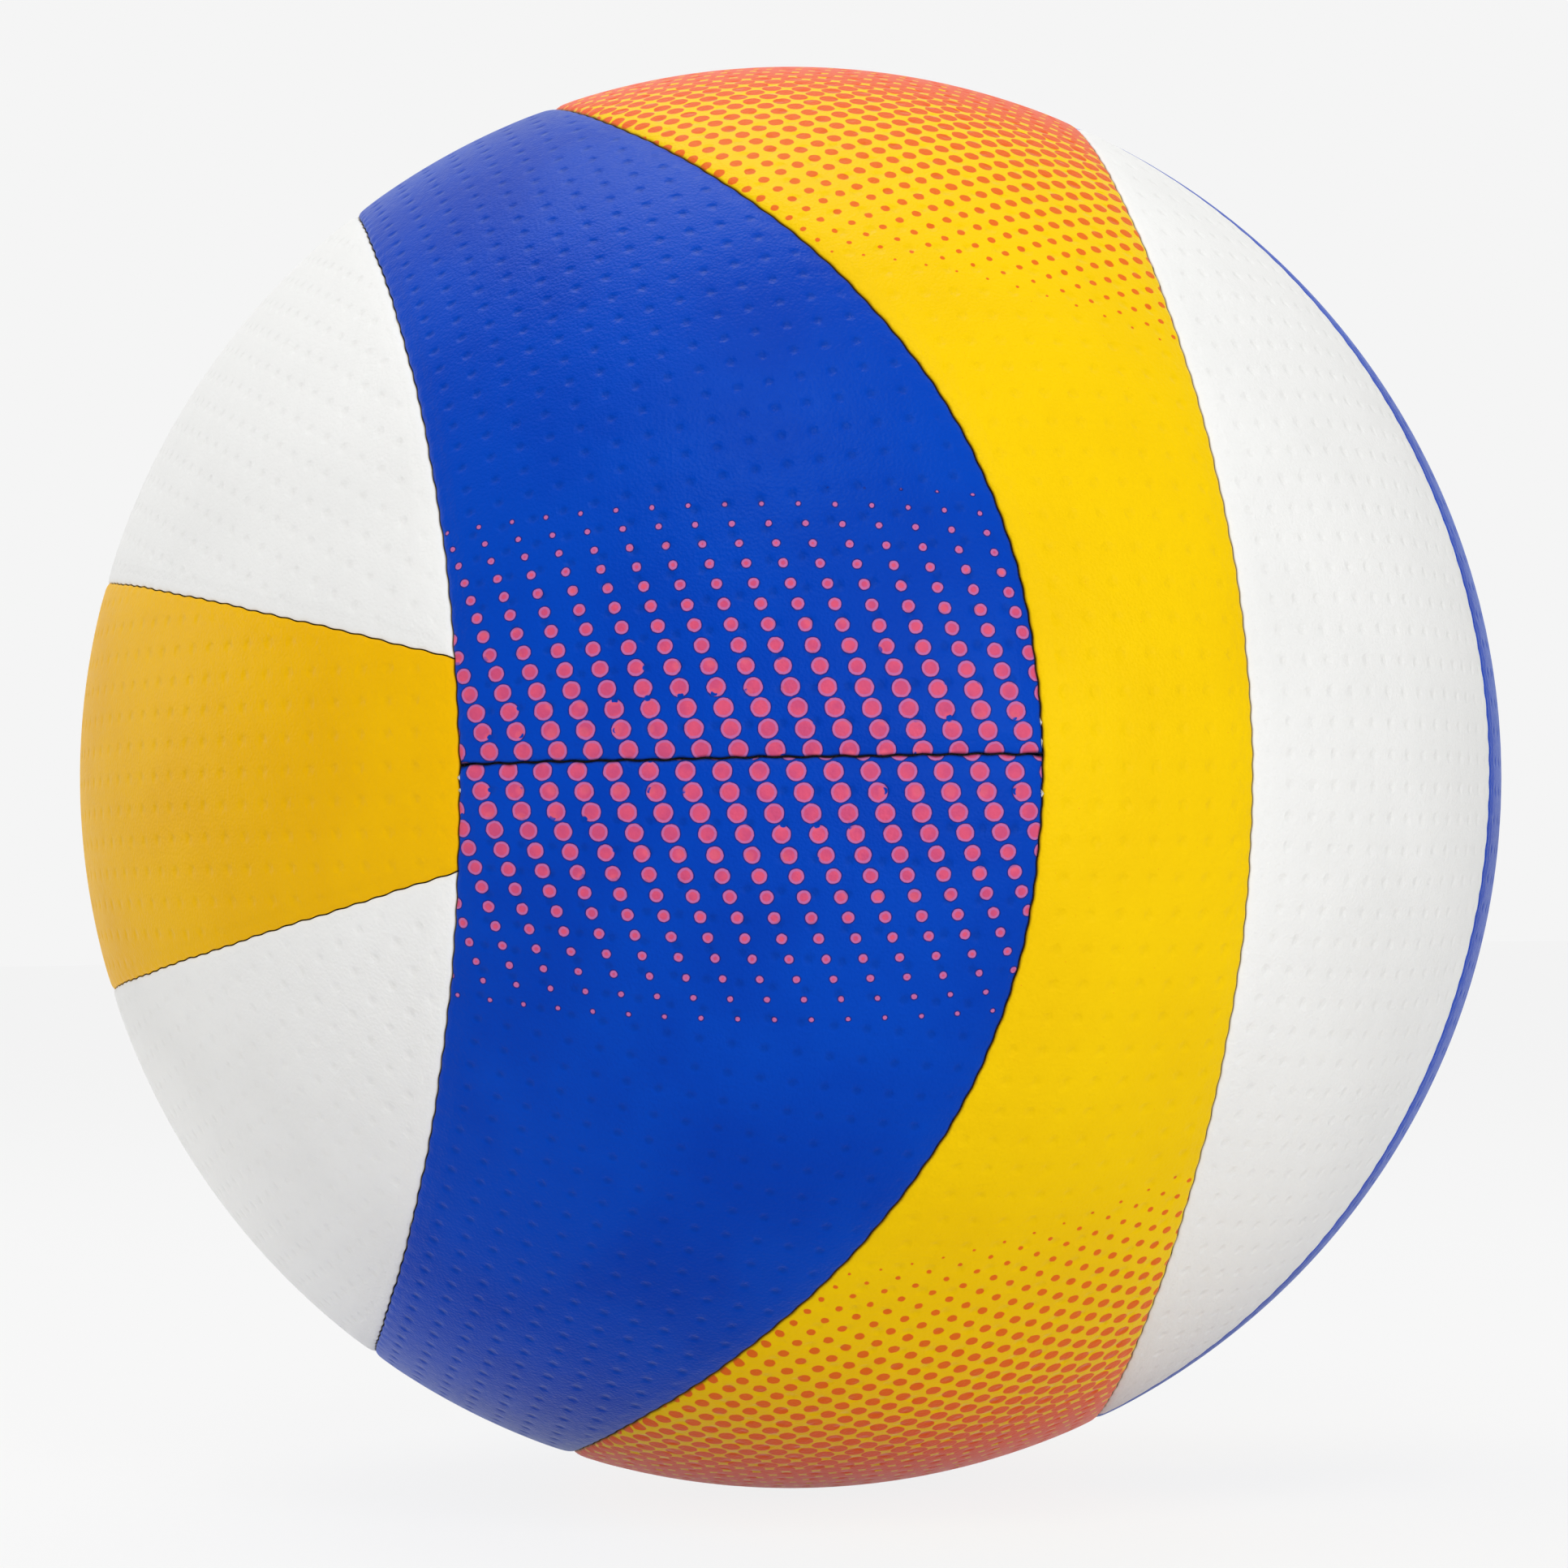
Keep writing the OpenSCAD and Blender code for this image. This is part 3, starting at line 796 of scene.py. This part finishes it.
# Each cover's third colour, its seam colour, is painted shade: a darker copy of its face, used down in its
# seams and dimples
strip_yellow_finish = cover_finish(
    "Warm_yellow_cover", colour(247, 190, 0), colour(242, 183, 0), colour(126, 84, 6))
yellow_finish = cover_finish(
    "Sun_yellow_cover_with_orange_dots", colour(253, 210, 0), colour(249, 204, 0), colour(138, 96, 12),
    orange_dots, haze=0.22)
blue_film = {
    "face": colour(0, 68, 190), "shade": colour(0, 60, 180), "seam": colour(2, 8, 40),
    "roughness": 0.38, "shine": 0.09, "haze": 0.11, "painted_pit_shade": 0.14, "tint": (0.5, 0.85, 1, 1)}
blue_finish = cover_finish("Deep_blue_cover", **blue_film)
dotted_blue_finish = cover_finish("Deep_blue_cover_with_pink_dots", inks=pink_dots, **blue_film)
white_finish = cover_finish(
    "Chalk_white_cover", colour(249, 249, 247), colour(245, 245, 243), colour(158, 142, 106), roughness=0.46)


# The ten covers

cover("left_centre_cover", centre_cover, "centre", strip_yellow_finish)
cover("left_upper_cover", side_cover, "side", white_finish)
cover("left_lower_cover", side_cover, "side", white_finish, mirrored=True)
cover("upper_ring_cover", ring_cover, "ring", dotted_blue_finish)
cover("lower_ring_cover", ring_cover, "ring", dotted_blue_finish, mirrored=True)
cover("right_centre_cover", valve_cover, "centre", blue_finish, right=True)
cover("right_front_cover", side_cover, "side", white_finish, right=True)
cover("right_rear_cover", side_cover, "side", white_finish, mirrored=True, right=True)
cover("front_ring_cover", ring_cover, "ring", yellow_finish, right=True)
cover("rear_ring_cover", ring_cover, "ring", yellow_finish, mirrored=True, right=True)


# Finishes of the parts under the covers

def cloth_finish(name, face, shade, yarns=900.0):
    """Plain-woven cotton: two crossed waves, with so many yarns to a metre."""
    f = Finish(name)
    parts = f.add("ShaderNodeSeparateXYZ")
    f.give(parts.inputs[0], f.place())
    x, y, z = parts.outputs
    warp = f.sum("SINE", f.sum("MULTIPLY", f.sum("ADD", x, y), yarns * math.pi))
    weft = f.sum("SINE", f.sum("MULTIPLY", f.sum("SUBTRACT", z, x), yarns * math.pi))
    weave = f.sum("MULTIPLY", warp, weft)
    height = f.sum("ADD", weave, f.noise(2600, 3, 0.6))
    f.give(f.surface.inputs["Base Color"], f.blend(f.ramp(weave, -0.6, 0.8), shade, face))
    f.give(f.surface.inputs["Normal"], f.bump(height, 0.35, 0.00015))
    f.give(f.surface.inputs["Roughness"], f.ramp(f.noise(1200), 0.3, 0.7, 0.78, 0.92, "LINEAR"))
    return f.material


def rubber_finish(name, face, shade, roughness):
    """Moulded rubber with a fine matt skin."""
    f = Finish(name)
    f.give(f.surface.inputs["Base Color"], f.blend(f.ramp(f.noise(160, 4, 0.6), 0.35, 0.7), face, shade))
    skin = f.sum("ADD", f.noise(5200, 3, 0.6), f.sum("MULTIPLY", f.noise(700, 2, 0.5), 0.8))
    f.give(f.surface.inputs["Normal"], f.bump(skin, 0.2, 0.0001))
    rough = f.ramp(f.noise(1500), 0.3, 0.7, roughness - 0.06, roughness + 0.08, "LINEAR")
    f.give(f.surface.inputs["Roughness"], rough)
    return f.material


# The thread's twist, in radians to a metre, and how far from the middle it is dark with painted shade and how
# far unshaded, in metres
TWIST = 9000
THREAD_SHADED_R, THREAD_UNSHADED_R = 0.1053, 0.1059


def thread_finish(name):
    """Waxed white sewing thread with the slanting lines of its twist, darkened with painted shade down in a
    seam.
    """
    f = Finish(name)
    parts = f.add("ShaderNodeSeparateXYZ")
    f.give(parts.inputs[0], f.place())
    x, y, z = parts.outputs
    twist = f.sum("SINE", f.sum("MULTIPLY", f.sum("ADD", f.sum("ADD", x, y), z), TWIST))
    out = f.add("ShaderNodeVectorMath", operation="LENGTH")
    f.give(out.inputs[0], f.place())
    # painted shade: the thread turns dark brown down in a seam, below about 105.3 mm from the middle
    unshaded = f.ramp(out.outputs["Value"], THREAD_SHADED_R, THREAD_UNSHADED_R)
    face = f.blend(f.ramp(twist, -0.8, 0.6), colour(196, 190, 170), colour(232, 228, 214))
    f.give(f.surface.inputs["Base Color"], f.blend(unshaded, colour(66, 56, 42), face))
    f.give(f.surface.inputs["Normal"], f.bump(f.sum("ADD", twist, f.noise(6000)), 0.4, 0.0001))
    f.give(f.surface.inputs["Roughness"], f.ramp(f.noise(2500), 0.3, 0.7, 0.55, 0.72, "LINEAR"))
    return f.material


lining_finish = cloth_finish("Woven_cotton_lining", colour(205, 200, 186), colour(168, 162, 148))
patch_finish = cloth_finish("Woven_valve_patch", colour(190, 186, 174), colour(150, 146, 134), 700.0)
bladder_finish = rubber_finish("Black_bladder_rubber", colour(38, 37, 38), colour(28, 27, 28), 0.6)
valve_finish = rubber_finish("Dark_valve_rubber", colour(44, 46, 52), colour(34, 36, 42), 0.5)
plug_finish = rubber_finish("Dark_plug_rubber", colour(58, 60, 66), colour(44, 46, 52), 0.45)
sewing_finish = thread_finish("White_sewing_thread")

inner_finishes = {
    "bladder": bladder_finish, "valve_housing": valve_finish,
    "valve_plug": plug_finish, "valve_patch": patch_finish}
for name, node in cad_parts.items():
    if name.endswith(("_panel", "_thread")):
        continue
    node.data.materials.clear()
    node.data.materials.append(lining_finish if name.endswith("_lining") else inner_finishes[name])


# The threads that sew the covers together, down between their edges

THREAD_R = 0.19
THREAD_DEPTH = 1.68
THREAD_RISE = 0.08

# How far the threads of the short seams and of the strips stop from the seams that they meet
SHORT_THREAD_END = 1.8
STRIP_THREAD_END = 1.7
STRIP_THREAD_REACH = 1.02  # radians along a strip, past its ends

# Where a thread comes up to the surface, in radians round the ball from the front and from the rear
THREAD_UP = {"middle_thread": (0.045, 0.013, -0.052), "left_cap_thread": (-0.016, -0.036)}
THREAD_UP_DEPTH = 0.30
THREAD_UP_W = 0.5


def sewn(name, route, closed=False, right=False):
    """A waxed thread along a seam, in small stitches."""
    run = np.concatenate([[0], np.cumsum(np.linalg.norm(np.diff(route, axis=0), axis=1))]) * BALL_R
    places = np.arange(0, run[-1], STITCH / 4)
    path = np.stack([np.interp(places, run, route[:, k]) for k in range(3)], -1)
    path /= np.linalg.norm(path, axis=1, keepdims=True)
    depth = THREAD_DEPTH + THREAD_RISE * np.cos(2 * math.pi * places / STITCH)
    azimuth = np.arctan2(path[:, 2], -path[:, 1])
    for spot in THREAD_UP.get(name, ()):
        for corner in (0, HALF):
            near = np.abs(np.angle(np.exp(1j * (azimuth - corner - spot)))) * BALL_R
            depth = depth - (THREAD_DEPTH - THREAD_UP_DEPTH) * np.exp(-(near / THREAD_UP_W) ** 4)
    if right:
        path = right_half(path)
    points = path * (BALL_R - depth)[:, None] * MM
    line = bpy.data.curves.new(name + "_line", "CURVE")
    line.dimensions = "3D"
    line.bevel_depth = THREAD_R * MM
    line.bevel_resolution = 1
    line.use_fill_caps = True
    spline = line.splines.new("POLY")
    spline.points.add(len(points) - 1)
    spline.points.foreach_set("co", np.c_[points, np.ones(len(points))].ravel())
    spline.use_cyclic_u = closed
    piece = bpy.data.objects.new(name.replace("_thread", "_stitching"), line)
    bpy.context.scene.collection.objects.link(piece)
    bpy.ops.object.select_all(action="DESELECT")
    piece.select_set(True)
    bpy.context.view_layer.objects.active = piece
    bpy.ops.object.convert(target="MESH")
    piece = bpy.context.active_object
    bpy.ops.object.shade_smooth()
    piece.data.materials.clear()
    piece.data.materials.append(sewing_finish)
    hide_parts(name)
    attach(piece, "root")


full_turn = np.linspace(0, 2 * HALF, 3000)
cap_route = direction(cap_seam(full_turn), full_turn)
sewn("left_cap_thread", cap_route, closed=True)
sewn("right_cap_thread", cap_route, closed=True, right=True)
sewn("middle_thread", direction(middle_seam(full_turn), full_turn), closed=True)

span = np.linspace(-STRIP_THREAD_REACH, STRIP_THREAD_REACH, 1200)
strip_route = strip_place(span, strip_edge(span, 0.0, 1))
strip_route = strip_route[in_cap(strip_route, STRIP_THREAD_END) < 0]
sewn("left_upper_thread", strip_route)
sewn("left_lower_thread", upside_down(strip_route))
sewn("right_front_thread", strip_route, right=True)
sewn("right_rear_thread", upside_down(strip_route), right=True)

reach = SHORT_THREAD_END / BALL_R
short = np.linspace(cap_seam(np.array(0.0)) + reach, middle_seam(np.array(0.0)) - reach, 400)
for corner, left_name, right_name in (
        (0.0, "front_ring_thread", "top_ring_thread"), (HALF, "rear_ring_thread", "bottom_ring_thread")):
    way = 1 if corner == 0 else -1
    short_route = direction(short, corner + way * ring_waver(short))
    sewn(left_name, short_route)
    sewn(right_name, short_route, right=True)


# Camera, floor and light

# How the ball lies turned in the photograph, in degrees: the camera goes round it by as much the other way
BALL_YAW = -0.493
BALL_ROLL = -0.974
BALL_PITCH = -1.456

IMAGE_SIDE = 1932  # pixels
IMAGE_SHIFT = (-8.2, -8.1)  # pixels
EYE_AWAY = 7.745  # ball radii
LENS = 125.32
SENSOR_W = 36


def turn_about(axis, degrees):
    return np.array(Matrix.Rotation(math.radians(degrees), 3, axis))


tilt = turn_about("Z", BALL_YAW) @ turn_about("Y", BALL_ROLL) @ turn_about("X", BALL_PITCH)
eye = tilt.T @ np.array([0, -EYE_AWAY * BALL_R * MM, 0])
turned = Matrix(np.stack([tilt.T @ np.array(v) for v in ((1, 0, 0), (0, 0, 1), (0, -1, 0))], 1).tolist())
camera_data = bpy.data.cameras.new("Camera")
camera_data.lens = LENS
camera_data.sensor_width = SENSOR_W
camera_data.shift_x, camera_data.shift_y = (pixels / IMAGE_SIDE for pixels in IMAGE_SHIFT)
camera_data.clip_start = 0.05
camera_data.clip_end = 60
camera = bpy.data.objects.new("Camera", camera_data)
camera.matrix_world = Matrix.Translation(Vector(eye)) @ turned.to_4x4()
bpy.context.scene.collection.objects.link(camera)
bpy.context.scene.camera = camera

# Floor and world show a plain pale colour to the camera and in shiny things, and light the ball as usual.
# The share of the floor that doesn't glow keeps the ball's shadow.
FLOOR_SIDE = 24
FLOOR_GAP = 0.0002
FLOOR_GLOW = 1.04
FLOOR_GLOW_SHARE = 0.9
SKY_STRENGTH = 0.42

bpy.ops.object.select_all(action="DESELECT")
bpy.ops.mesh.primitive_plane_add(size=FLOOR_SIDE, location=(0, 0, -BALL_R * MM - FLOOR_GAP))
floor = bpy.context.active_object
floor.name = "pale_floor"
backdrop_colour = colour(245, 245, 245)
f = Finish("Pale_studio_floor")
f.surface.inputs["Base Color"].default_value = colour(240, 240, 240)
f.surface.inputs["Roughness"].default_value = 0.9
glow = f.add("ShaderNodeEmission")
glow.inputs["Color"].default_value = backdrop_colour
glow.inputs["Strength"].default_value = FLOOR_GLOW
rays = f.add("ShaderNodeLightPath")
mixed = f.add("ShaderNodeMixShader")
plain = f.sum("MAXIMUM", rays.outputs["Is Camera Ray"], rays.outputs["Is Glossy Ray"])
plain = f.sum("MAXIMUM", plain, rays.outputs["Is Transmission Ray"])
f.give(mixed.inputs[0], f.sum("MULTIPLY", plain, FLOOR_GLOW_SHARE))
f.give(mixed.inputs[1], f.surface.outputs[0])
f.give(mixed.inputs[2], glow.outputs[0])
f.give(f.out.inputs["Surface"], mixed.outputs[0])
floor.data.materials.append(f.material)

world = bpy.data.worlds.new("Studio")
bpy.context.scene.world = world
world.use_nodes = True
tree = world.node_tree
tree.nodes.clear()
sky = tree.nodes.new("ShaderNodeBackground")
sky.inputs[0].default_value = colour(255, 255, 255)
sky.inputs[1].default_value = SKY_STRENGTH
seen = tree.nodes.new("ShaderNodeBackground")
seen.inputs[0].default_value = backdrop_colour
seen.inputs[1].default_value = 1.0
rays = tree.nodes.new("ShaderNodeLightPath")
mix = tree.nodes.new("ShaderNodeMixShader")
out = tree.nodes.new("ShaderNodeOutputWorld")
mirrored = tree.nodes.new("ShaderNodeMath")
mirrored.operation = "MAXIMUM"
tree.links.new(rays.outputs["Is Glossy Ray"], mirrored.inputs[0])
tree.links.new(rays.outputs["Is Transmission Ray"], mirrored.inputs[1])
plain = tree.nodes.new("ShaderNodeMath")
plain.operation = "MAXIMUM"
tree.links.new(rays.outputs["Is Camera Ray"], plain.inputs[0])
tree.links.new(mirrored.outputs[0], plain.inputs[1])
tree.links.new(plain.outputs[0], mix.inputs[0])
tree.links.new(sky.outputs[0], mix.inputs[1])
tree.links.new(seen.outputs[0], mix.inputs[2])
tree.links.new(mix.outputs[0], out.inputs[0])


def lamp(name, place, size, power):
    """A soft square lamp turned to the ball, in metres and watts."""
    data = bpy.data.lights.new(name, "AREA")
    data.shape = "SQUARE"
    data.size = size
    data.energy = power
    made = bpy.data.objects.new(name, data)
    made.location = place
    made.rotation_euler = (-Vector(place)).to_track_quat("-Z", "Y").to_euler()
    bpy.context.scene.collection.objects.link(made)


lamp("Key", (-0.05, -1.0, 1.2), 0.5, 5.2)
lamp("Overhead", (-0.2, 0.35, 1.45), 0.9, 7.2)
lamp("Right_fill", (0.62, -1.25, 0.28), 0.9, 2.9)
lamp("Low_right", (0.6, -1.1, 0.02), 0.9, 3.3)
lamp("Left_rim", (-1.3, 0.4, 0.3), 0.7, 3.2)

bpy.context.scene.view_settings.view_transform = "Standard"
